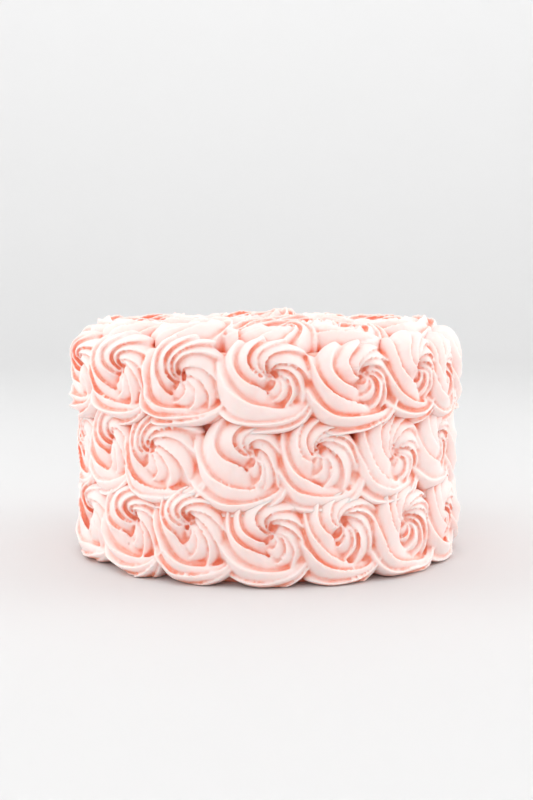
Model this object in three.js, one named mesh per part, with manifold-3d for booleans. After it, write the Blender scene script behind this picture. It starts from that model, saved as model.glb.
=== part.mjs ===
// An uncut round layer cake under piped buttercream rosettes: three rows round its side, two rings
// and one raised rosette on its top. Millimetres, +Z up, origin under the middle of the cake.
import * as THREE from "three";
import { mergeVertices } from "three/addons/utils/BufferGeometryUtils.js";
import Module from "manifold-3d";

const wasm = await Module();
wasm.setup();

// The cake under its thin flat coat of icing
const CAKE_RADIUS = 103;
const CAKE_HEIGHT = 125;
const CAKE_BEVEL = 3;
const CAKE_SIDES = 36;

// Neighbouring pieces keep this distance
const GAP = 0.3;

// Rosettes on the side, in degrees round the cake from its front, + to the right.
// The front ones have places of their own, with a lift above or below the row's height, and the
// rest share out the back evenly.
const SIDE_COUNT = 16;
const SIDE_HALF_HEIGHT = 26;
const SIDE_ROWS = [
  {
    name: "rosettes_bottom_row",
    height: 25,
    proud: 15.5,
    front: [-66, -41.2, -22, 0, 21.4, 42.4, 67.5],
    lift: [0, 0, 0.5, -0.5, 0, 0, 0],
  },
  {
    name: "rosettes_middle_row",
    height: 66.3,
    proud: 13.5,
    front: [-53, -32.9, -5.9, 14.5, 37.9, 62, 85],
    lift: [2, 0.6, -2.4, -1.6, 0.4, 1, 0],
  },
  {
    name: "rosettes_top_row",
    height: 109.6,
    proud: 17,
    front: [-72, -46.5, -24.3, -0.7, 24.4, 46.2, 63],
    lift: [1, 1, 0.6, -0.4, -2.6, 1.2, 0],
  },
];

// Rosettes on the top: the outer ring is piped first, then the inner one, then the middle one
const TOP_RINGS = [
  { name: "top_rosettes_outer_ring", count: 12, ring: 81, radius: 25.4, proud: 17, first: 2 },
  { name: "top_rosettes_inner_ring", count: 6, ring: 41, radius: 24.5, proud: 18, first: 20 },
  { name: "top_rosette_centre", count: 1, ring: 0, radius: 23, proud: 22, first: 0 },
];

// The piped rope: a star nozzle leaves ridges, which lean over the rope as it goes round
const SIDE_RIDGES = 7;
const TOP_RIDGES = 6;
const RIDGE_DEPTH = 0.1;
const RIDGE_TURN = 42;
const ROPE_FOOT = 38;
const ROPE_STEPS = 4;
const ROPE_STEP = 50;
const DIMPLE_DEPTH = 0.55;
const SUNK = 1.5;
const BLOCK_SIDES = 12;

// How uneven the piping is
const SPACING_SHIFT = 1.2;
const PLACE_SHIFT = 1.2;
const SIZE_SHIFT = 0.03;
const NEIGHBOUR_LAP = 3.7;

const radians = THREE.MathUtils.degToRad;

// A fixed, uneven number between -1 and 1 for each whole number
function uneven(number) {
  const wave = Math.sin(12.9898 * number + 4.1) * 43758.5453;
  return 2 * (wave - Math.floor(wave)) - 1;
}

// A closed three.js geometry as a solid for cutting and joining
function toSolid(geometry) {
  const bare = geometry.clone();
  bare.deleteAttribute("normal");
  bare.deleteAttribute("uv");
  const merged = mergeVertices(bare, 1e-4);
  const index = merged.index.array;
  const kept = [];
  for (let i = 0; i < index.length; i += 3) {
    const [a, b, c] = index.slice(i, i + 3);
    if (a !== b && b !== c && c !== a) kept.push(a, b, c);
  }
  const vertProperties = Float32Array.from(merged.attributes.position.array);
  const triVerts = Uint32Array.from(kept);
  return new wasm.Manifold(new wasm.Mesh({ numProp: 3, vertProperties, triVerts }));
}

function toGeometry(solid) {
  const mesh = solid.getMesh();
  const geometry = new THREE.BufferGeometry();
  geometry.setAttribute("position", new THREE.BufferAttribute(mesh.vertProperties, 3));
  geometry.setIndex(new THREE.BufferAttribute(mesh.triVerts, 1));
  geometry.computeVertexNormals();
  return geometry;
}

function joined(solids) {
  return solids.reduce((whole, solid) => whole.add(solid));
}

// The largest body of a cut solid, without the loose scraps that the cut leaves
function withoutScraps(solid) {
  const bodies = solid.decompose();
  return bodies.reduce((largest, next) => (next.volume() > largest.volume() ? next : largest));
}

// A turned solid about the Z axis, from pairs of radius and height
function turned(pairs) {
  const profile = pairs.map(([radius, height]) => new THREE.Vector2(radius, height));
  return new THREE.LatheGeometry(profile, CAKE_SIDES).rotateX(Math.PI / 2);
}

// The outline of half a rope laid round in a ring that closes at its middle, in shares of the
// rosette's radius and height, from under its foot, out and over, to the dimple
function ropeProfile() {
  const foot = Math.sin(radians(ROPE_FOOT));
  const points = [new THREE.Vector2(0, 0)];
  for (let step = 0; step < ROPE_STEPS; step++) {
    const lean = radians(step * ROPE_STEP - ROPE_FOOT);
    points.push(new THREE.Vector2((1 + Math.cos(lean)) / 2, (Math.sin(lean) + foot) / (1 + foot)));
  }
  points.push(new THREE.Vector2(0, 1 - DIMPLE_DEPTH));
  return points;
}

// One rosette of radius and height 1, lying on the XY plane. Every other column of the turned rope
// is a ridge. From the rope's widest step inwards, the columns lean on round the rosette.
function rosetteGeometry(startTurn, ridges) {
  const profile = ropeProfile();
  const sectors = 2 * ridges;
  const geometry = new THREE.LatheGeometry(profile, sectors).rotateX(Math.PI / 2);
  const position = geometry.attributes.position;
  for (let column = 0; column <= sectors; column++) {
    const swell = 1 + (column % 2 === 0 ? RIDGE_DEPTH : -RIDGE_DEPTH);
    const turn = startTurn + (2 * Math.PI * column) / sectors;
    profile.forEach((point, step) => {
      const onRope = step > 0 && step <= ROPE_STEPS;
      const angle = turn + radians(Math.max(step - 2, 0) * RIDGE_TURN);
      const across = onRope ? (0.5 + (point.x - 0.5) * swell) / (1 + RIDGE_DEPTH / 2) : 0;
      const up = onRope && step > 1 ? point.y * swell : point.y;
      const vertex = column * profile.length + step;
      position.setXYZ(vertex, across * Math.cos(angle), across * Math.sin(angle), up);
    });
  }
  return geometry;
}

// An upright block round one rosette, which clears the piece beneath it
function rosetteBlock() {
  const radius = 1 / Math.cos(Math.PI / BLOCK_SIDES);
  return new THREE.CylinderGeometry(radius, radius, 2, BLOCK_SIDES).rotateX(Math.PI / 2);
}

// Lays a geometry of radius and height 1 on the cake's side, wrapped round it
function wrapOnSide(geometry, place, margin) {
  const position = geometry.attributes.position;
  const middle = CAKE_RADIUS + place.proud / 2;
  for (let i = 0; i < position.count; i++) {
    const reach = position.getX(i) < 0 ? place.left : place.right;
    const across = position.getX(i) * (reach + margin);
    const up = position.getY(i) * (place.half + margin);
    const out = CAKE_RADIUS + position.getZ(i) * (place.proud + margin + SUNK) - SUNK;
    const angle = radians(place.angle) + across / middle;
    position.setXYZ(i, out * Math.sin(angle), -out * Math.cos(angle), place.height + up);
  }
  return toSolid(geometry);
}

// Lays a geometry of radius and height 1 flat on the cake's top
function layOnTop(geometry, place, margin) {
  const size = place.radius + margin;
  geometry.scale(size, size, place.proud + margin + SUNK);
  geometry.translate(
    place.ring * Math.sin(radians(place.angle)),
    -place.ring * Math.cos(radians(place.angle)),
    CAKE_HEIGHT - SUNK,
  );
  return toSolid(geometry);
}

// The places of one row: the front ones as given, the back ones evenly spaced, each reaching
// a little past the half-way lines to its neighbours
function sidePlaces(row, rowNumber) {
  const angles = [...row.front];
  const hidden = SIDE_COUNT - angles.length;
  const last = angles[angles.length - 1];
  const spacing = (angles[0] + 360 - last) / (hidden + 1);
  for (let i = 1; i <= hidden; i++) {
    angles.push(last + spacing * i + SPACING_SHIFT * uneven(100 * rowNumber + i));
  }
  const middle = CAKE_RADIUS + row.proud / 2;
  const lifts = [...row.lift];
  for (let i = 0; i < hidden; i++) {
    lifts.push(PLACE_SHIFT * uneven(100 * rowNumber + 50 + i));
  }
  return angles.map((angle, i) => {
    const before = i === 0 ? angles[SIDE_COUNT - 1] - 360 : angles[i - 1];
    const after = i === SIDE_COUNT - 1 ? angles[0] + 360 : angles[i + 1];
    const number = 100 * rowNumber + 20 + i;
    return {
      angle,
      left: (middle * radians(angle - before)) / 2 + NEIGHBOUR_LAP,
      right: (middle * radians(after - angle)) / 2 + NEIGHBOUR_LAP,
      half: SIDE_HALF_HEIGHT * (1 + SIZE_SHIFT * uneven(number)),
      height: row.height + lifts[i],
      proud: row.proud * (1 + SIZE_SHIFT * uneven(number + 50)),
      start: Math.PI * uneven(number + 70),
    };
  });
}

function topPlaces(ring, ringNumber) {
  return Array.from({ length: ring.count }, (_, i) => {
    const number = 400 + 100 * ringNumber + i;
    const turn = ring.first + (360 / ring.count) * i;
    return {
      angle: turn + SPACING_SHIFT * uneven(number),
      ring: ring.ring,
      radius: ring.radius * (1 + (SIZE_SHIFT / 2) * uneven(number + 30)),
      proud: ring.proud * (1 + SIZE_SHIFT * uneven(number + 50)),
      start: Math.PI * uneven(number + 70),
    };
  });
}

// Everything up to the cake's own faces, with the gap, which the rosettes stand clear of
function cakeClearance() {
  const side = CAKE_RADIUS + GAP;
  const over = CAKE_HEIGHT + 2 * SIDE_HALF_HEIGHT;
  return toSolid(turned([[0, -CAKE_HEIGHT], [side, -CAKE_HEIGHT], [side, over], [0, over]]));
}

// Everything below one level, out past the widest rosette
function below(level) {
  const wide = 2 * CAKE_RADIUS;
  return toSolid(turned([[0, -wide], [wide, -wide], [wide, level], [0, level]]));
}

const icing = new THREE.MeshStandardMaterial({ color: 0xf7d3cb, roughness: 0.55, metalness: 0 });
const coat = new THREE.MeshStandardMaterial({ color: 0xf6cbc1, roughness: 0.6, metalness: 0 });

function addPiece(parent, name, geometry, material) {
  const mesh = new THREE.Mesh(geometry, material);
  mesh.name = name;
  parent.add(mesh);
}

const cake = new THREE.Group();

const body = turned([
  [0, 0],
  [CAKE_RADIUS, 0],
  [CAKE_RADIUS, CAKE_HEIGHT - CAKE_BEVEL],
  [CAKE_RADIUS - CAKE_BEVEL, CAKE_HEIGHT],
  [0, CAKE_HEIGHT],
]);
addPiece(cake, "cake", body, coat);

// Each row is cut back where the next row, piped after it, lies over it
const rowPlaces = SIDE_ROWS.map(sidePlaces);
const rowBlocks = rowPlaces.map((places) =>
  joined(places.map((place) => wrapOnSide(rosetteBlock(), place, GAP))),
);
SIDE_ROWS.forEach((row, i) => {
  const rosettes = rowPlaces[i].map((place) =>
    wrapOnSide(rosetteGeometry(place.start, SIDE_RIDGES), place, 0),
  );
  let solid = joined(rosettes).subtract(cakeClearance()).subtract(below(0));
  if (i + 1 < SIDE_ROWS.length) solid = solid.subtract(rowBlocks[i + 1]);
  addPiece(cake, row.name, toGeometry(withoutScraps(solid)), icing);
});

// The top's rosettes stop at the top row of the side, and at the ring that is piped after them
const ringPlaces = TOP_RINGS.map(topPlaces);
TOP_RINGS.forEach((ring, i) => {
  const rosettes = ringPlaces[i].map((place) =>
    layOnTop(rosetteGeometry(place.start, TOP_RIDGES), place, 0),
  );
  let solid = joined(rosettes).subtract(below(CAKE_HEIGHT + GAP));
  if (i === 0) solid = solid.subtract(rowBlocks[SIDE_ROWS.length - 1]);
  if (i + 1 < TOP_RINGS.length) {
    const next = ringPlaces[i + 1].map((place) => layOnTop(rosetteBlock(), place, GAP));
    solid = solid.subtract(joined(next));
  }
  addPiece(cake, ring.name, toGeometry(withoutScraps(solid)), icing);
});

export default cake;
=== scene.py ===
"""An uncut round cake under piped rosettes of buttercream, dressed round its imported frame."""
import math

import bpy
import numpy as np
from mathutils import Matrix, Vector, kdtree


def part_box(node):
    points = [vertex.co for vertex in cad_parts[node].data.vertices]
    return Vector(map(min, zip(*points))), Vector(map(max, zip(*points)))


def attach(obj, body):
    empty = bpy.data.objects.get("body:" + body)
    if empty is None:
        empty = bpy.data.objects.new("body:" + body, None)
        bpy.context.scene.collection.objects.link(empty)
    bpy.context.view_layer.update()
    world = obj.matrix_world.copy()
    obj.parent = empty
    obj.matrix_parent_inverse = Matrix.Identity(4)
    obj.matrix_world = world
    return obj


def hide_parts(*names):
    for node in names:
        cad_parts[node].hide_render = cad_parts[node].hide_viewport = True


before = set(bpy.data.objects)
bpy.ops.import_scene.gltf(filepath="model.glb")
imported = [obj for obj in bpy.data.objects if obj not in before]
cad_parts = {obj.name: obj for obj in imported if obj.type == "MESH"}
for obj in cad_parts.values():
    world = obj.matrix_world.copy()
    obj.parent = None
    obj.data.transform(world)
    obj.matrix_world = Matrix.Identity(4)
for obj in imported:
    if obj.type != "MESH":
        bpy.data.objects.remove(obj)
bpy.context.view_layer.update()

# Lengths are in millimetres, except those of the floor, lights and camera
MM = 0.001


# Sizes read from the frame

def box_mm(node):
    low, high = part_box(node)
    return np.array(low) / MM, np.array(high) / MM


CAKE_LOW, CAKE_HIGH = box_mm("cake")
CAKE_RADIUS = (CAKE_HIGH[0] - CAKE_LOW[0]) / 2
CAKE_HEIGHT = CAKE_HIGH[2]

# Rosettes on the side, round the cake as in the solids and 1.8 mm lower. front gives the ones that
# show: degrees round the cake from its front, + to the right. dimple is how far the middle of each
# is shifted to the right and up
SIDE_COUNT = 16
SIDE_HALF_HEIGHT = 26.5
SIDE_ROWS = [
    dict(node="rosettes_bottom_row", height=23.2, proud=15.5,
         front=[-66, -41.2, -22, 0, 21.4, 42.4, 67.5],
         lift=[0, 0, 0.5, -0.5, 0, 0, 0], reach_up=1.1,
         dimple=[(0, 2), (1, 3), (-0.5, 5), (2, 2.6), (-1.5, 5), (1, 3), (0, 0)]),
    dict(node="rosettes_middle_row", height=64.5, proud=13.5,
         front=[-53, -32.9, -5.9, 14.5, 37.9, 62, 85],
         lift=[2.0, 0.6, -2.4, -1.6, 0.4, 1, 0], reach_up=1.14,
         dimple=[(1, 1), (-7, 0.5), (2.7, 4.6), (-1.5, 3.6), (2.5, -0.5), (1, 2), (0, 0)]),
    dict(node="rosettes_top_row", height=107.8, proud=17,
         front=[-72, -46.5, -24.3, -0.7, 24.4, 46.2, 63],
         lift=[1, 1, 0.6, -0.4, -2.6, 1.2, 0], reach_up=1.0,
         dimple=[(0, 0), (1, 1), (-2, -1.8), (3, 2.3), (5.3, 4.7), (2, 2), (0, 0)]),
]

# Rosettes on the top, as in the solids
TOP_RINGS = [
    dict(node="top_rosettes_outer_ring", count=12, ring=81, radius=25.4, proud=17, first=2),
    dict(node="top_rosettes_inner_ring", count=6, ring=41, radius=24.5, proud=18, first=20),
    dict(node="top_rosette_centre", count=1, ring=0, radius=23, proud=22, first=0),
]

# How uneven the piping is, as in the solids
SPACING_SHIFT = 1.2
PLACE_SHIFT = 1.2
SIZE_SHIFT = 0.03

# How far a rosette on the side laps over the line halfway to its neighbour, which is more than in
# the solids
NEIGHBOUR_LAP = 5.0

# A rosette is worked out for a radius of 1 and a height of 1, and laid in place afterwards. These
# keys run along its rope, by degrees round the rosette counter-clockwise from its right: the
# rope's middle line, half width and height
ROPE_TURN = [-210, -150, -100, -45, 0, 45, 90, 135, 180, 225, 270, 315, 355]
ROPE_RADIUS = [0.06, 0.10, 0.22, 0.34, 0.46, 0.56, 0.60, 0.55, 0.50, 0.56, 0.68, 0.82, 0.94]
ROPE_WIDTH = [0.02, 0.30, 0.42, 0.48, 0.50, 0.46, 0.42, 0.47, 0.52, 0.46, 0.34, 0.20, 0.02]
ROPE_TOP = [0.05, 0.42, 0.70, 0.84, 0.90, 0.93, 0.96, 0.99, 1.00, 0.98, 0.94, 0.82, 0.42]
# How far the ridges turn over the rope for each degree round the rosette, and how deep the
# grooves between them are cut
SIDE_RATE = [0.8, 0.8, 0.8, 0.9, 1.1, 1.25, 1.3, 1.1, 0.75, 0.6, 0.55, 0.55, 0.55]
TOP_RATE = [0.8, 0.8, 0.8, 0.9, 1.1, 1.2, 1.15, 0.85, 0.6, 0.48, 0.42, 0.42, 0.42]
RIDGE_CUT = [1.2, 1.2, 1.2, 1.15, 1.1, 1.05, 1.05, 1.1, 1.2, 1.2, 1.1, 0.9, 0.6]
SIDE_LEAST_CUT = 0
TOP_LEAST_CUT = 1.3
KEY_EASE = 22

# The rope closes within this many degrees of its two ends, and its tail is pulled out and up
ROPE_CLOSE = 12
TAIL_START = 290
TAIL_PULL = 0.12
TAIL_RISE = 3

# The rope's section, in degrees over it from its outer side, and how high its middle lies
SECTION_START = -50
SECTION_END = 230
SECTION_STEPS = 49
SECTION_MIDDLE = 0.24

# The nozzle's ridges: how many there may be round the rope, and where each is sampled
SIDE_RIDGES = (9, 10, 11)
TOP_RIDGES = (11, 12)
RIDGE_PHASES = np.array([0.0, 0.03, 0.07, 0.11, 0.15, 0.22, 0.32, 0.44, 0.57, 0.7, 0.83, 0.94])
CREST_PHASE = 0.13
CREST_FALL = 1.1
RIDGE_DEPTH = 0.29
RIDGE_LEAN = 0.12
# Ridges run in under the rope's outer side over this many degrees of its section
RIDGE_ENTRY = 60

# How ridges differ: their depth, their lean and their place
RIDGE_SIZES = (0.65, 1.3)
RIDGE_LEANS = (0.3, 1.9)
RIDGE_NUDGE = 0.2

# How far a ridge's crest waves in and out, as a share of the rope's half width
RUFFLE = 0.04
RUFFLE_SPEEDS = (5, 11)
RUFFLE_SIZES = (0.2, 1.2)

# Slow waves along the rope: how large they are, and the slowest and the fastest of them
START_SHIFT = 16
ROPE_WAVES = 4
WIDTH_WAVE, WIDTH_SPEEDS = 0.06, (0.8, 2.6)
RADIUS_WAVE, RADIUS_SPEEDS = 0.05, (0.8, 2.4)
HEIGHT_WAVE, HEIGHT_SPEEDS = 0.05, (0.8, 3.0)
BEND_WAVE, BEND_SPEEDS = 0.13, (0.7, 2.2)

# Waves over the whole rosette
WARP_WAVES = 5
WARP, WARP_SPEEDS = 0.042, (1.5, 5.0)
WARP_UP, WARP_UP_SPEEDS = 0.03, (1.5, 6.0)

# The dimple lies a little up and to the right of the rosette's middle, and is uneven in place
DIMPLE_SHIFT = 3
DIMPLE_REACH = 0.6
DIMPLE_RIGHT = 0.07
DIMPLE_UP = 0.13

# Rosettes pressed between others are a little square: 2 would be round
SQUARENESS = 2.6

# Lower edges and left edges stand prouder, because each rosette is piped over its neighbours
TILT_UP = 0.10
TILT_RIGHT = 0.08

# The lowest icing is pressed flat at this height
FLOOR_CLEARANCE = 0.3

# Each rosette grows together with a plate under it, which lies inside the cake's coat
PLATE_TOP = 0.0
PLATE_LOW = -0.28
ROPE_LOW = -0.15
PLATE_SIDES = 36
PLATE_EDGE = 0.02
PLATE_MIDDLE = 0.01

# The rosettes of a row are grown together on a fine grid, and what lies inside the cake is left out
GRID = 0.8
INSIDE = 1.5
PIECE_TRIANGLES = 175000

# What lies deep under other icing is left out too: a map of square cells tells how far out the
# icing stands, and only cells well away from an edge count as covered
MAP_CELL = 1.5
MAP_MARGIN = 30
MAP_SHAPE = (640, 240)
MAP_EDGE = 2
COVER_DEPTH = 12

# Loose bits of fewer faces than this are left out
LEAST_PART = 2000

# How far a crease is looked for, in passes of smoothing, and how deep a full one is
CREASE_PASSES = 12
CREASE_DEPTH = 0.45


# Smooth and uneven numbers

def uneven(number):
    """A fixed, uneven number between -1 and 1 for each whole number."""
    wave = math.sin(12.9898 * number + 4.1) * 43758.5453
    return 2 * (wave - math.floor(wave)) - 1


def smooth_step(low, high, value):
    share = np.clip((value - low) / (high - low), 0, 1)
    return share * share * (3 - 2 * share)


def along_keys(turn, keys):
    """The value of a row of keys at each turn, eased by averaging over a short stretch."""
    spread = np.linspace(-KEY_EASE, KEY_EASE, 9)
    return np.mean([np.interp(turn + shift, ROPE_TURN, keys) for shift in spread], axis=0)


def waves(random, speeds):
    """A smooth one-dimensional noise of a few sine waves, about -1 to 1."""
    speed = random.uniform(*speeds, ROPE_WAVES)
    phase = random.uniform(0, 2 * math.pi, ROPE_WAVES)
    size = random.uniform(0.4, 1.0, ROPE_WAVES)
    size = size / size.sum() * 1.4

    def value(x):
        x = np.asarray(x, float)[..., None]
        return (size * np.sin(speed * x + phase)).sum(-1)

    return value


def waves_over(random, count, speeds):
    """A smooth noise over a plane, about -1 to 1."""
    heading = random.uniform(0, 2 * math.pi, count)
    speed = random.uniform(*speeds, count)
    phase = random.uniform(0, 2 * math.pi, count)

    def value(x, y):
        x = np.asarray(x, float)[..., None]
        y = np.asarray(y, float)[..., None]
        wave = np.sin(speed * (x * np.cos(heading) + y * np.sin(heading)) + phase)
        return wave.sum(-1) * 1.4 / count

    return value


# The places of the rosettes

def side_places(row, row_number):
    """The places of one row, by the same rule as the solids."""
    angles = list(row["front"])
    hidden = SIDE_COUNT - len(angles)
    last = angles[-1]
    spacing = (angles[0] + 360 - last) / (hidden + 1)
    for i in range(1, hidden + 1):
        angles.append(last + spacing * i + SPACING_SHIFT * uneven(100 * row_number + i))
    lifts = list(row["lift"])
    lifts += [PLACE_SHIFT * uneven(100 * row_number + 50 + i) for i in range(hidden)]
    dimples = list(row["dimple"])
    for i in range(hidden):
        shift = uneven(100 * row_number + 60 + i), uneven(100 * row_number + 75 + i)
        dimples.append((DIMPLE_SHIFT * shift[0], DIMPLE_SHIFT * shift[1]))
    middle = CAKE_RADIUS + row["proud"] / 2
    places = []
    for i, angle in enumerate(angles):
        before = angles[i - 1] - (360 if i == 0 else 0)
        after = angles[0] + 360 if i == SIDE_COUNT - 1 else angles[i + 1]
        number = 100 * row_number + 20 + i
        places.append(dict(
            angle=math.radians(angle),
            left=middle * math.radians(angle - before) / 2 + NEIGHBOUR_LAP,
            right=middle * math.radians(after - angle) / 2 + NEIGHBOUR_LAP,
            radius=SIDE_HALF_HEIGHT * (1 + SIZE_SHIFT * uneven(number)),
            height=row["height"] + lifts[i],
            proud=row["proud"] * (1 + SIZE_SHIFT * uneven(number + 50)),
            middle=middle,
            reach_up=row["reach_up"],
            dimple=dimples[i],
            ridges=SIDE_RIDGES,
            rate=SIDE_RATE,
            least_cut=SIDE_LEAST_CUT,
            seed=number,
        ))
    return places


def top_places(ring, ring_number):
    """The places of one ring, by the same rule as the solids."""
    places = []
    for i in range(ring["count"]):
        number = 400 + 100 * ring_number + i
        turn = ring["first"] + 360 / ring["count"] * i + SPACING_SHIFT * uneven(number)
        places.append(dict(
            angle=math.radians(turn),
            ring=ring["ring"],
            radius=ring["radius"] * (1 + SIZE_SHIFT / 2 * uneven(number + 30)),
            proud=ring["proud"] * (1 + SIZE_SHIFT * uneven(number + 50)),
            dimple=(DIMPLE_SHIFT * uneven(number + 60), DIMPLE_SHIFT * uneven(number + 75)),
            ridges=TOP_RIDGES,
            rate=TOP_RATE,
            least_cut=TOP_LEAST_CUT,
            seed=number,
        ))
    return places


# One rosette

def grid_faces(columns, rows, closed=False):
    """Four-sided faces over a grid of points kept column by column, closed into a ring or not."""
    column = np.arange(columns if closed else columns - 1)[:, None] * rows
    after = (column + rows) % (columns * rows)
    step = np.arange(rows - 1)[None, :]
    faces = np.stack([column + step, after + step, after + step + 1, column + step + 1], -1)
    return faces.reshape(-1, 4)


def ridge_height(phase):
    """From 0 in the groove to 1 on the crest: a steep inner face, and a long outer one."""
    rise = smooth_step(0, CREST_PHASE, phase)
    fall = np.clip((phase - CREST_PHASE) / (1 - CREST_PHASE), 0, 1)
    return np.where(phase < CREST_PHASE, rise, (1 - fall) ** CREST_FALL)


TURNS = np.linspace(ROPE_TURN[0], ROPE_TURN[-1], 200)


def climbs_of(rate):
    """How far a ridge has climbed over the rope at each of the turns."""
    return np.cumsum(np.interp(TURNS, ROPE_TURN, rate)) * (TURNS[1] - TURNS[0])


def ridge_lines(random, ridges, climbs):
    """The lines of points along the ridges of one rosette, and how its ridges differ."""
    pitch = 360 / random.choice(ridges)
    lowest = math.floor((climbs[0] - SECTION_END) / pitch)
    starts = np.arange(lowest, math.ceil(climbs[-1] / pitch) + 1)
    count = len(starts) - 1
    ridge = np.repeat(np.arange(count), len(RIDGE_PHASES))
    phase = np.tile(RIDGE_PHASES, count)
    place = starts[ridge] + phase
    offset = random.uniform(0, pitch)
    size = random.uniform(*RIDGE_SIZES, count)[ridge]
    lean = random.uniform(*RIDGE_LEANS, count)[ridge]
    nudges = random.uniform(-RIDGE_NUDGE, RIDGE_NUDGE, count)
    nudge = np.interp(place, starts, np.append(nudges, nudges[0]))
    return dict(
        count=count,
        ridge=ridge,
        climb=(place + nudge) * pitch + offset,
        height=ridge_height(phase)[:, None],
        size=size[:, None],
        lean=lean[:, None],
    )


def rope_at(random, turn):
    """The rope's middle line, half width and height at each turn, with waves of its own."""
    angle = np.radians(turn)
    wave_width = waves(random, WIDTH_SPEEDS)
    wave_radius = waves(random, RADIUS_SPEEDS)
    wave_top = waves(random, HEIGHT_SPEEDS)
    radius = along_keys(turn, ROPE_RADIUS) * (1 + RADIUS_WAVE * wave_radius(angle))
    width = along_keys(turn, ROPE_WIDTH) * (1 + WIDTH_WAVE * wave_width(angle))
    top = along_keys(turn, ROPE_TOP) * (1 + HEIGHT_WAVE * wave_top(angle))
    pulled = random.uniform(0, TAIL_PULL) * smooth_step(TAIL_START, ROPE_TURN[-1], turn)
    from_end = np.minimum(turn - ROPE_TURN[0], ROPE_TURN[-1] - turn)
    width = width * np.sqrt(np.clip(from_end / ROPE_CLOSE, 0, 1))
    return radius + pulled, width, top + TAIL_RISE * pulled


def ridged_section(random, lines, turn, section, width, top, least_cut):
    """How far across and up each point of the ridged rope lies from the rope's middle line."""
    height = lines["height"]
    angle = np.radians(turn)
    bend = np.radians(section) + BEND_WAVE * waves(random, BEND_SPEEDS)(angle)
    depth = RIDGE_DEPTH * lines["size"] * (0.85 + 0.3 * np.sin(bend / 2) ** 2)
    depth = depth * np.maximum(along_keys(turn, RIDGE_CUT), least_cut)
    speed = random.uniform(*RUFFLE_SPEEDS, lines["count"])[lines["ridge"]][:, None]
    phase = random.uniform(0, 2 * math.pi, lines["count"])[lines["ridge"]][:, None]
    size = random.uniform(*RUFFLE_SIZES, lines["count"])[lines["ridge"]][:, None]
    ruffle = RUFFLE * size * np.sin(speed * angle + phase)
    swell = 1 - depth * (1 - height) + ruffle * height
    over = np.sin(np.clip(bend, 0, math.pi)) ** 0.5
    leaned = bend + RIDGE_LEAN * lines["lean"] * height ** 2 * over
    across = width * swell * np.cos(leaned)
    rise = top * (SECTION_MIDDLE + (1 - SECTION_MIDDLE) * swell * np.sin(leaned))
    return across, rise


def warped(random, x, y, rise, heading, dimple):
    """The points of a rosette made uneven, a little square, and tilted over its neighbours."""
    warp_x = waves_over(random, WARP_WAVES, WARP_SPEEDS)
    warp_y = waves_over(random, WARP_WAVES, WARP_SPEEDS)
    warp_z = waves_over(random, WARP_WAVES, WARP_UP_SPEEDS)
    near_middle = np.exp(-(x * x + y * y) / DIMPLE_REACH ** 2)
    corners = np.abs(np.cos(heading)) ** SQUARENESS + np.abs(np.sin(heading)) ** SQUARENESS
    fuller = 1 + (corners ** (-1 / SQUARENESS) - 1) * np.clip(np.hypot(x, y), 0, 1)
    shift_x = WARP * warp_x(x, y) + (DIMPLE_RIGHT + dimple[0]) * near_middle
    shift_y = WARP * warp_y(x, y) + (DIMPLE_UP + dimple[1]) * near_middle
    z = rise * (1 - TILT_UP * y - TILT_RIGHT * x) + WARP_UP * warp_z(x, y)
    return np.stack([x * fuller + shift_x, y * fuller + shift_y, np.maximum(z, ROPE_LOW)], -1)


def plate(edge):
    """A closed plate as wide as the foot of the rope, whose lower edge points are given."""
    heading = np.arctan2(edge[:, 1], edge[:, 0])
    far = np.hypot(edge[:, 0], edge[:, 1])
    around = np.linspace(-math.pi, math.pi, PLATE_SIDES, endpoint=False)
    gap = np.abs((heading[None] - around[:, None] + math.pi) % (2 * math.pi) - math.pi)
    reach = np.where(gap < 2 * math.pi / PLATE_SIDES, far[None], 0).max(axis=1) + PLATE_EDGE
    profile = np.array([
        [PLATE_MIDDLE, PLATE_TOP],
        [1, PLATE_TOP],
        [1, PLATE_LOW],
        [PLATE_MIDDLE, PLATE_LOW],
    ])
    out = profile[None, :, 0] * reach[:, None]
    points = np.stack([
        out * np.cos(around)[:, None],
        out * np.sin(around)[:, None],
        np.broadcast_to(profile[:, 1], out.shape),
    ], -1).reshape(-1, 3)
    return points, grid_faces(PLATE_SIDES, len(profile), closed=True)


def rosette(place):
    """Points and faces of one rosette of radius 1 and height 1, with its groove depth."""
    random = np.random.default_rng(place["seed"])
    dimple = [shift / place["radius"] for shift in place["dimple"]]
    turn_shift = random.uniform(-START_SHIFT, START_SHIFT)
    climbs = climbs_of(place["rate"])
    lines = ridge_lines(random, place["ridges"], climbs)

    section = np.linspace(SECTION_START, SECTION_END, SECTION_STEPS)
    climb, section = np.meshgrid(lines["climb"], section, indexing="ij")
    entry = np.clip(section, 0, RIDGE_ENTRY)
    climb = climb + section - entry + entry ** 2 / (2 * RIDGE_ENTRY) - np.minimum(section, 0)
    inside = (climb >= climbs[0]) & (climb <= climbs[-1])
    turn = np.interp(climb, climbs, TURNS)

    radius, width, top = rope_at(random, turn)
    across, rise = ridged_section(random, lines, turn, section, width, top, place["least_cut"])
    heading = np.radians(turn + turn_shift)
    x = (radius + across) * np.cos(heading)
    y = (radius + across) * np.sin(heading)
    points = warped(random, x, y, rise, heading, dimple)
    groove = np.broadcast_to(1 - lines["height"], x.shape).reshape(-1)

    plate_points, plate_faces = plate(points[inside.any(axis=1), 0])
    points = points.reshape(-1, 3)
    faces = grid_faces(len(climb), SECTION_STEPS)
    faces = faces[inside.reshape(-1)[faces].any(axis=1)]
    return dict(
        points=np.concatenate([points, plate_points]),
        faces=np.concatenate([faces, plate_faces + len(points)]),
        groove=np.concatenate([groove, np.ones(len(plate_points))]),
    )


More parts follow.
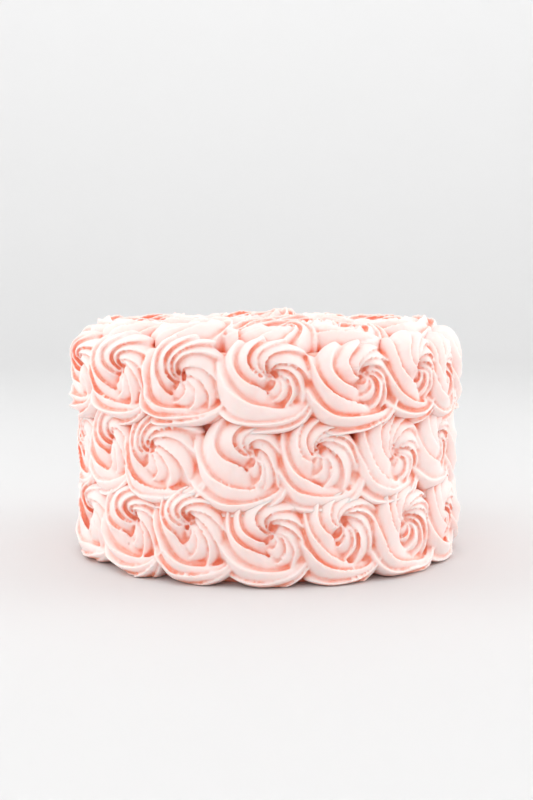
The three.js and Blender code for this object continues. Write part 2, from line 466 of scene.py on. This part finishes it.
def wrap_on_side(points, place):
    """Lays a rosette on the cake's side, wrapped round it."""
    x, y, z = points.T
    reach = place["left"] + (place["right"] - place["left"]) * smooth_step(-0.7, 0.7, x)
    out = CAKE_RADIUS + z * place["proud"]
    angle = place["angle"] + x * reach / place["middle"]
    half = place["radius"] * (1 + (place["reach_up"] - 1) * smooth_step(0, 1, y))
    up = np.maximum(place["height"] + y * half, FLOOR_CLEARANCE)
    return np.stack([out * np.sin(angle), -out * np.cos(angle), up], -1)


def lay_on_top(points, place):
    """Lays a rosette flat on the cake's top, turned to the way its ring is piped."""
    x, y, z = points.T
    turn = place["angle"] + place["seed"]
    across = x * math.cos(turn) - y * math.sin(turn)
    along = x * math.sin(turn) + y * math.cos(turn)
    return np.stack([
        place["ring"] * math.sin(place["angle"]) + across * place["radius"],
        -place["ring"] * math.cos(place["angle"]) + along * place["radius"],
        CAKE_HEIGHT + z * place["proud"],
    ], -1)


def laid_rosette(place, lay):
    made = rosette(place)
    made["laid"] = lay(made["points"], place)
    return made


# Meshes

def mesh_object(name, points_mm, faces, **layers):
    """A smooth mesh in metres, with layers of one value for each point."""
    mesh = bpy.data.meshes.new(name)
    mesh.vertices.add(len(points_mm))
    mesh.vertices.foreach_set("co", (points_mm * MM).astype(np.float32).reshape(-1))
    mesh.loops.add(faces.size)
    mesh.loops.foreach_set("vertex_index", faces.astype(np.int32).reshape(-1))
    mesh.polygons.add(len(faces))
    starts = np.arange(len(faces), dtype=np.int32) * faces.shape[1]
    mesh.polygons.foreach_set("loop_start", starts)
    mesh.update(calc_edges=True)
    for label, values in layers.items():
        layer = mesh.attributes.new(label, "FLOAT", "POINT")
        layer.data.foreach_set("value", values.astype(np.float32))
    mesh.validate()
    mesh.shade_smooth()
    piece = bpy.data.objects.new(name, mesh)
    bpy.context.scene.collection.objects.link(piece)
    return piece


def after_modifier(name, points_mm, faces, kind, **settings):
    """The points and faces of a mesh after one modifier."""
    piece = mesh_object(name, points_mm, faces)
    modifier = piece.modifiers.new(name, kind)
    for key, value in settings.items():
        setattr(modifier, key, value)
    graph = bpy.context.evaluated_depsgraph_get()
    mesh = bpy.data.meshes.new_from_object(piece.evaluated_get(graph))
    points = np.empty(len(mesh.vertices) * 3)
    mesh.vertices.foreach_get("co", points)
    corners = np.empty(len(mesh.loops), int)
    mesh.loops.foreach_get("vertex_index", corners)
    sides = len(mesh.loops) // len(mesh.polygons)
    before = piece.data
    bpy.data.objects.remove(piece)
    bpy.data.meshes.remove(before)
    bpy.data.meshes.remove(mesh)
    return points.reshape(-1, 3) / MM, corners.reshape(-1, sides)


def only_used(points, faces):
    """The points that the faces use, with the faces renumbered."""
    used, corners = np.unique(faces, return_inverse=True)
    return points[used], corners.reshape(faces.shape)


def without_bits(points, faces):
    """The points and faces without loose bits that aren't joined to the form."""
    part = np.arange(len(points))
    edges = np.concatenate([faces[:, :2], faces[:, 1:3]])
    while True:
        lower = np.minimum(part[edges[:, 0]], part[edges[:, 1]])
        joined = part.copy()
        np.minimum.at(joined, edges[:, 0], lower)
        np.minimum.at(joined, edges[:, 1], lower)
        joined = joined[joined]
        if (joined == part).all():
            break
        part = joined
    size = np.bincount(part[faces[:, 0]], minlength=len(points))
    return only_used(points, faces[size[part[faces[:, 0]]] >= LEAST_PART])


def side_map(points):
    """Where points fall on a map of the side, how far out they stand and which are on the side."""
    angle = np.arctan2(points[:, 0], -points[:, 1])
    across = (angle / (2 * math.pi) + 0.5) * CAKE_RADIUS * 2 * math.pi
    up = points[:, 2] + MAP_MARGIN
    return across, up, np.hypot(points[:, 0], points[:, 1]), points[:, 2] < CAKE_HEIGHT


def top_map(points):
    """Where points fall on a map of the top, how high they stand and which are on the top."""
    across, along = points[:, 0], points[:, 1]
    margin = CAKE_RADIUS + MAP_MARGIN
    return across + margin, along + margin, points[:, 2], np.hypot(across, along) < CAKE_RADIUS


def depth_in_cake(points):
    """How deep points lie under the cake's own surface."""
    out = np.hypot(points[:, 0], points[:, 1])
    up = points[:, 2]
    past = np.hypot(
        np.maximum(out - CAKE_RADIUS + COAT_EDGE, 0), np.maximum(up - CAKE_HEIGHT + COAT_EDGE, 0))
    return np.minimum(np.minimum(CAKE_RADIUS - out, CAKE_HEIGHT - up), COAT_EDGE - past)


def without_covered(pieces, to_map):
    """The points and faces of each piece without what lies deep under the icing of any of them."""
    cover = np.zeros(MAP_SHAPE)
    for points, _ in pieces:
        across, up, out, _ = to_map(points)
        np.maximum.at(cover, ((across / MAP_CELL).astype(int), (up / MAP_CELL).astype(int)), out)
    for _ in range(MAP_EDGE):
        for axis in (0, 1):
            beside = np.minimum(np.roll(cover, 1, axis), np.roll(cover, -1, axis))
            cover = np.minimum(cover, beside)
    bare = []
    for points, faces in pieces:
        across, up, out, near = to_map(points)
        above = cover[(across / MAP_CELL).astype(int), (up / MAP_CELL).astype(int)]
        hidden = near & (out < above - COVER_DEPTH)
        hidden |= depth_in_cake(points) > INSIDE
        bare.append(only_used(points, faces[~hidden[faces].all(axis=1)]))
    return bare


def nearest_values(points, known, values):
    """For each point, the value of the nearest known point."""
    tree = kdtree.KDTree(len(known))
    for i, place in enumerate(known):
        tree.insert(place, i)
    tree.balance()
    return values[[tree.find(point)[1] for point in points]]


def crease_of(points, faces):
    """How deep each point lies in a crease, or with a minus how far it stands out on a crest."""
    corner = points[faces]
    facing = np.cross(corner[:, 1] - corner[:, 0], corner[:, 2] - corner[:, 0])
    normal = np.zeros_like(points)
    for i in range(3):
        np.add.at(normal, faces[:, i], facing)
    normal /= np.linalg.norm(normal, axis=1, keepdims=True) + 1e-9
    start = faces.reshape(-1)
    end = np.roll(faces, -1, axis=1).reshape(-1)
    count = np.bincount(start, minlength=len(points))[:, None]
    smooth = points
    for _ in range(CREASE_PASSES):
        total = np.stack([np.bincount(start, smooth[end, i], len(points)) for i in range(3)], -1)
        smooth = 0.5 * smooth + 0.5 * total / count
    return np.clip(((smooth - points) * normal).sum(axis=1) / CREASE_DEPTH, -1, 1)


def grown_together(rosettes):
    """The points and faces of rosettes whose overlapping forms are joined on a fine grid."""
    laid = np.concatenate([made["laid"] for made in rosettes])
    starts = np.cumsum([0] + [len(made["laid"]) for made in rosettes])
    faces = np.concatenate([made["faces"] + start for made, start in zip(rosettes, starts)])
    return after_modifier("grid", laid, faces, "REMESH", mode="VOXEL", voxel_size=GRID * MM)


def finished_piece(name, rosettes, points, faces):
    """The object of a row or ring, with few enough triangles, and what its material reads."""
    share = min(1.0, PIECE_TRIANGLES / (2 * len(faces)))
    points, faces = after_modifier(
        "fewer", points, faces, "DECIMATE", ratio=share, use_collapse_triangulate=True)
    points, faces = without_bits(points, faces)
    # The material paints shade in grooves and creases, and a highlight on crests, from the groove
    # and crease layers
    laid = np.concatenate([made["laid"] for made in rosettes])
    groove = np.concatenate([made["groove"] for made in rosettes])
    groove = nearest_values(points, laid, groove)
    return mesh_object(name, points, faces, groove=groove, crease=crease_of(points, faces))


# The cake's own body under a thin spread coat. Its upper edge is rounded, its side carries the
# spatula's long shallow marks, and its colour is painted a little toward a groove's, as painted
# shade
COAT_EDGE = 5.0
COAT_TURNS = 180
COAT_WEAR = 0.35
COAT_MARKS, COAT_MARK_SPEEDS = 0.3, (2.0, 9.0)
COAT_GROOVE_SHADE = 0.3


def coat_profile():
    """The body's outline from the middle of its underside to the middle of its top."""
    profile = [(0.0, 0.0)]
    profile += [(CAKE_RADIUS * share, 0.0) for share in (0.5, 0.97)]
    profile += [(CAKE_RADIUS - 0.4, 0.6)]
    profile += [(CAKE_RADIUS, z) for z in np.linspace(3, CAKE_HEIGHT - COAT_EDGE, 40)]
    for lean in np.linspace(15, 90, 6):
        bend = math.radians(lean)
        profile.append((CAKE_RADIUS - COAT_EDGE * (1 - math.cos(bend)),
                        CAKE_HEIGHT - COAT_EDGE * (1 - math.sin(bend))))
    profile += [(r, CAKE_HEIGHT) for r in np.linspace(CAKE_RADIUS - 2 * COAT_EDGE, 5, 14)]
    profile += [(0.0, CAKE_HEIGHT)]
    return np.array(profile)


def coated_body():
    """The coated body as one closed turned form."""
    random = np.random.default_rng(7)
    profile = coat_profile()
    rows = len(profile)
    angle = np.linspace(0, 2 * math.pi, COAT_TURNS, endpoint=False)
    marks = waves_over(random, 7, COAT_MARK_SPEEDS)
    wear = marks(angle[:, None] * 3 * np.ones(rows), profile[None, :, 1] / 12)
    radius = np.broadcast_to(profile[:, 0], (COAT_TURNS, rows)).copy()
    level = np.broadcast_to(profile[:, 1], (COAT_TURNS, rows)).copy()
    on_side = (level > 2) & (radius > CAKE_RADIUS - 2)
    radius = radius - np.where(on_side, COAT_WEAR + COAT_MARKS * wear, 0)
    x = radius * np.sin(angle)[:, None]
    y = -radius * np.cos(angle)[:, None]
    points = np.stack([x, y, level], -1).reshape(-1, 3)

    # The points in the middle of the underside and of the top are one point each
    faces = grid_faces(COAT_TURNS, rows, closed=True)
    faces = np.concatenate([faces[:, [0, 1, 2]], faces[:, [0, 2, 3]]])
    faces[faces % rows == 0] = 0
    faces[faces % rows == rows - 1] = rows - 1
    whole = (faces != np.roll(faces, 1, axis=1)).all(axis=1)
    points, faces = only_used(points, faces[whole])
    # A fixed lean toward the groove end of the colour ramp, as painted shade
    flat = np.full(len(points), COAT_GROOVE_SHADE)
    return mesh_object("cake_coat", points, faces, groove=flat, crease=0 * flat)


# Materials: colours from a painted highlight on the crests down to painted shade in the deepest
# grooves, and where each one starts
COLOUR_STARTS = (0.0, 0.22, 0.66, 0.98)
ICING_COLOURS_LIT_AND_SHADED = (
    (0.985, 0.78, 0.75), (0.985, 0.73, 0.695), (0.985, 0.63, 0.575), (0.99, 0.33, 0.21))
# The coat's colours are deeper than the icing's: painted shade, as the coat shows only in deep gaps
# between the rosettes
COAT_COLOURS_SHADED = (
    (0.98, 0.68, 0.62), (0.98, 0.60, 0.53), (0.98, 0.46, 0.37), (0.98, 0.30, 0.20))

# How far each cause moves the colour from crest to groove: the cloud is tone that differs at
# random, grooves, creases and pits move it toward painted shade, and crests toward a painted
# highlight
CLOUD_SHARE = 0.25
GROOVE_SHADE_SHARE = 0.06
CREASE_SHADE_SHARE = 0.42
PIT_SHADE_SHARE = 0.5

# Painted shade in hollows: how far light is shut out of a hollow, its reach, and the openness where
# the painted shade starts and is full
HOLLOW_REACH = 6
HOLLOW_START = 0.85
HOLLOW_FULL = 0.25

# Air bubbles open as small pits in some of the cells of a pattern
PIT_CELLS = 95.0
PIT_SPAN = (0.035, 0.065)
PIT_PICK = 0.72


def node_tree(name):
    material = bpy.data.materials.new(name)
    material.use_nodes = True
    tree = material.node_tree
    return material, tree, tree.nodes["Principled BSDF"]


def add_node(tree, kind, **values):
    """A node with its inputs or settings set by name."""
    node = tree.nodes.new(kind)
    for key, value in values.items():
        if key in node.inputs:
            node.inputs[key].default_value = value
        else:
            setattr(node, key, value)
    return node


def noise(tree, place, scale, detail):
    node = add_node(tree, "ShaderNodeTexNoise", Scale=scale, Detail=detail)
    tree.links.new(place, node.inputs["Vector"])
    return node.outputs["Fac"]


def remapped(tree, source, span, onto=(0.0, 1.0)):
    node = add_node(tree, "ShaderNodeMapRange")
    node.inputs["From Min"].default_value, node.inputs["From Max"].default_value = span
    node.inputs["To Min"].default_value, node.inputs["To Max"].default_value = onto
    tree.links.new(source, node.inputs["Value"])
    return node.outputs["Result"]


def with_share(tree, source, share, base):
    """A base with a share of a source added to it."""
    node = add_node(tree, "ShaderNodeMath", operation="MULTIPLY_ADD")
    node.inputs[1].default_value = share
    tree.links.new(source, node.inputs[0])
    tree.links.new(base, node.inputs[2])
    return node.outputs["Value"]


def bumped(tree, height, strength, distance, before=None, invert=False):
    node = add_node(
        tree, "ShaderNodeBump", Strength=strength, Distance=distance * MM, invert=invert)
    tree.links.new(height, node.inputs["Height"])
    if before is not None:
        tree.links.new(before, node.inputs["Normal"])
    return node.outputs["Normal"]


def pits(tree, place):
    """1 inside a small air bubble and 0 elsewhere."""
    cells = add_node(tree, "ShaderNodeTexVoronoi", Scale=PIT_CELLS)
    tree.links.new(place, cells.inputs["Vector"])
    pit = remapped(tree, cells.outputs["Distance"], PIT_SPAN, (1.0, 0.0))
    picked = add_node(tree, "ShaderNodeMath", operation="GREATER_THAN")
    picked.inputs[1].default_value = PIT_PICK
    tree.links.new(cells.outputs["Color"], picked.inputs[0])
    both = add_node(tree, "ShaderNodeMath", operation="MULTIPLY")
    tree.links.new(pit, both.inputs[0])
    tree.links.new(picked.outputs["Value"], both.inputs[1])
    return both.outputs["Value"]


def buttercream(name, colours):
    """Whipped buttercream, softly translucent, with a painted highlight on the crests and painted
    shade, warmer and deeper, in the grooves, creases, hollows and pits.
    """
    material, tree, shader = node_tree(name)
    link = tree.links.new
    place = add_node(tree, "ShaderNodeTexCoord").outputs["Object"]
    pitted = pits(tree, place)

    # Painted shade: the colour runs toward the deep end of the ramp where light is shut out of a
    # hollow and in grooves, creases and pits, and toward the pale end on crests as a painted
    # highlight; the cloud is tone that differs at random
    hollow = add_node(tree, "ShaderNodeAmbientOcclusion", samples=6, Distance=HOLLOW_REACH * MM)
    shade_and_tone = remapped(tree, hollow.outputs["AO"], (HOLLOW_START, HOLLOW_FULL))
    groove = add_node(tree, "ShaderNodeAttribute", attribute_name="groove")
    crease = add_node(tree, "ShaderNodeAttribute", attribute_name="crease")
    shade_and_tone = with_share(tree, noise(tree, place, 22.0, 3.0), CLOUD_SHARE, shade_and_tone)
    shade_and_tone = with_share(tree, groove.outputs["Fac"], GROOVE_SHADE_SHARE, shade_and_tone)
    shade_and_tone = with_share(tree, crease.outputs["Fac"], CREASE_SHADE_SHARE, shade_and_tone)
    shade_and_tone = with_share(tree, pitted, PIT_SHADE_SHARE, shade_and_tone)

    ramp = add_node(tree, "ShaderNodeValToRGB")
    stops = ramp.color_ramp.elements
    stops[0].position = COLOUR_STARTS[0]
    stops[1].position = COLOUR_STARTS[-1]
    for start in COLOUR_STARTS[1:-1]:
        stops.new(start)
    for stop, colour in zip(stops, colours):
        stop.color = (*colour, 1)
    link(shade_and_tone, ramp.inputs["Fac"])
    link(ramp.outputs["Color"], shader.inputs["Base Color"])

    drag = noise(tree, place, 160.0, 2.0)
    normal = bumped(tree, noise(tree, place, 900.0, 4.0), 0.12, 0.3)
    normal = bumped(tree, drag, 0.25, 0.8, normal)
    normal = bumped(tree, pitted, 0.8, 0.5, normal, invert=True)
    link(normal, shader.inputs["Normal"])
    link(remapped(tree, drag, (0.0, 1.0), (0.42, 0.58)), shader.inputs["Roughness"])

    shader.inputs["Subsurface Weight"].default_value = 1.0
    shader.inputs["Subsurface Radius"].default_value = (1.0, 0.72, 0.65)
    shader.inputs["Subsurface Scale"].default_value = 1.5 * MM
    shader.inputs["Specular IOR Level"].default_value = 0.35
    return material


# The cake

def dress(piece, node, material):
    piece.data.materials.append(material)
    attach(piece, "root")
    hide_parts(node)


def build_cake():
    icing = buttercream("buttercream", ICING_COLOURS_LIT_AND_SHADED)
    coat = buttercream("buttercream_coat", COAT_COLOURS_SHADED)
    dress(coated_body(), "cake", coat)
    rows = [[laid_rosette(place, wrap_on_side) for place in side_places(row, number)]
            for number, row in enumerate(SIDE_ROWS)]
    rings = [[laid_rosette(place, lay_on_top) for place in top_places(ring, number)]
             for number, ring in enumerate(TOP_RINGS)]
    side = without_covered([grown_together(row) for row in rows], side_map)
    top = without_covered([grown_together(ring) for ring in rings], top_map)
    for spot, rosettes, (points, faces) in zip(SIDE_ROWS + TOP_RINGS, rows + rings, side + top):
        name = "piped_" + spot["node"].replace("rosettes_", "").replace("rosette_", "")
        dress(finished_piece(name, rosettes, points, faces), spot["node"], icing)


# Floor, light and camera, in metres
FLOOR_RADIUS = 1.6
FLOOR_BEND = 1.2
FLOOR_TURNS = 96
WALL_HEIGHT = 3.2
# The floor's grey, and the wall's, which is painted paler as painted light because less light
# reaches the wall
FLOOR_GREY = 0.68
WALL_GREY_PAINTED_PALER = 0.87

WORLD_STRENGTH = 1.36
LIGHT_TARGET = (0, 0, 0.07)
LIGHTS = [
    dict(name="window", place=(1.3, 0.1, 0.45), size=0.9, power=6.2),
    dict(name="left", place=(-1.25, 0.1, 0.5), size=1.0, power=5.0),
    dict(name="front", place=(-0.5, -2.0, 0.95), size=1.6, power=8.5),
]

CAMERA_PLACE = (0.0, -0.747, 0.164)
CAMERA_PITCH = 5.66
CAMERA_LENS = 54.5
CAMERA_SENSOR = 36


def build_stage():
    """A pale floor that curves up all round into a plain wall, painted paler as it rises to make up
    for the light it lacks.
    """
    profile = [(0.0, 0.0), (FLOOR_RADIUS / 2, 0.0)]
    for lean in np.linspace(0, 90, 13):
        bend = math.radians(lean)
        profile.append((FLOOR_RADIUS + FLOOR_BEND * math.sin(bend),
                        FLOOR_BEND * (1 - math.cos(bend))))
    profile.append((FLOOR_RADIUS + FLOOR_BEND, WALL_HEIGHT))
    points = []
    for turn in range(FLOOR_TURNS):
        angle = 2 * math.pi * turn / FLOOR_TURNS
        points += [(r * math.cos(angle), r * math.sin(angle), z) for r, z in profile]
    mesh = bpy.data.meshes.new("floor")
    mesh.from_pydata(points, [], grid_faces(FLOOR_TURNS, len(profile), closed=True).tolist())
    mesh.shade_smooth()
    floor = bpy.data.objects.new("floor", mesh)
    bpy.context.scene.collection.objects.link(floor)

    material, tree, shader = node_tree("pale_floor")
    axes = add_node(tree, "ShaderNodeSeparateXYZ")
    tree.links.new(add_node(tree, "ShaderNodeTexCoord").outputs["Object"], axes.inputs["Vector"])
    # Painted light: the colour grows paler with height from the floor up the wall
    ramp = add_node(tree, "ShaderNodeValToRGB")
    for stop, shade_and_tone in zip(ramp.color_ramp.elements, (FLOOR_GREY, WALL_GREY_PAINTED_PALER)):
        stop.color = (shade_and_tone, shade_and_tone, shade_and_tone, 1)
    tree.links.new(axes.outputs["Z"], ramp.inputs["Fac"])
    tree.links.new(ramp.outputs["Color"], shader.inputs["Base Color"])
    shader.inputs["Roughness"].default_value = 0.8
    mesh.materials.append(material)


def build_light():
    world = bpy.data.worlds.new("soft_room")
    world.use_nodes = True
    back = world.node_tree.nodes["Background"]
    back.inputs["Color"].default_value = (1.0, 1.0, 1.0, 1)
    back.inputs["Strength"].default_value = WORLD_STRENGTH
    bpy.context.scene.world = world
    for light in LIGHTS:
        data = bpy.data.lights.new(light["name"], "AREA")
        data.shape = "DISK"
        data.size = light["size"]
        data.energy = light["power"]
        lamp = bpy.data.objects.new(light["name"], data)
        lamp.location = light["place"]
        aim = Vector(LIGHT_TARGET) - Vector(light["place"])
        lamp.rotation_euler = aim.to_track_quat("-Z", "Y").to_euler()
        bpy.context.scene.collection.objects.link(lamp)


def build_camera():
    data = bpy.data.cameras.new("camera")
    data.lens = CAMERA_LENS
    data.sensor_width = CAMERA_SENSOR
    camera = bpy.data.objects.new("camera", data)
    camera.location = CAMERA_PLACE
    camera.rotation_euler = (math.radians(90 - CAMERA_PITCH), 0, 0)
    bpy.context.scene.collection.objects.link(camera)
    bpy.context.scene.camera = camera


bpy.context.scene.view_settings.view_transform = "Standard"
build_camera()
build_cake()
build_stage()
build_light()
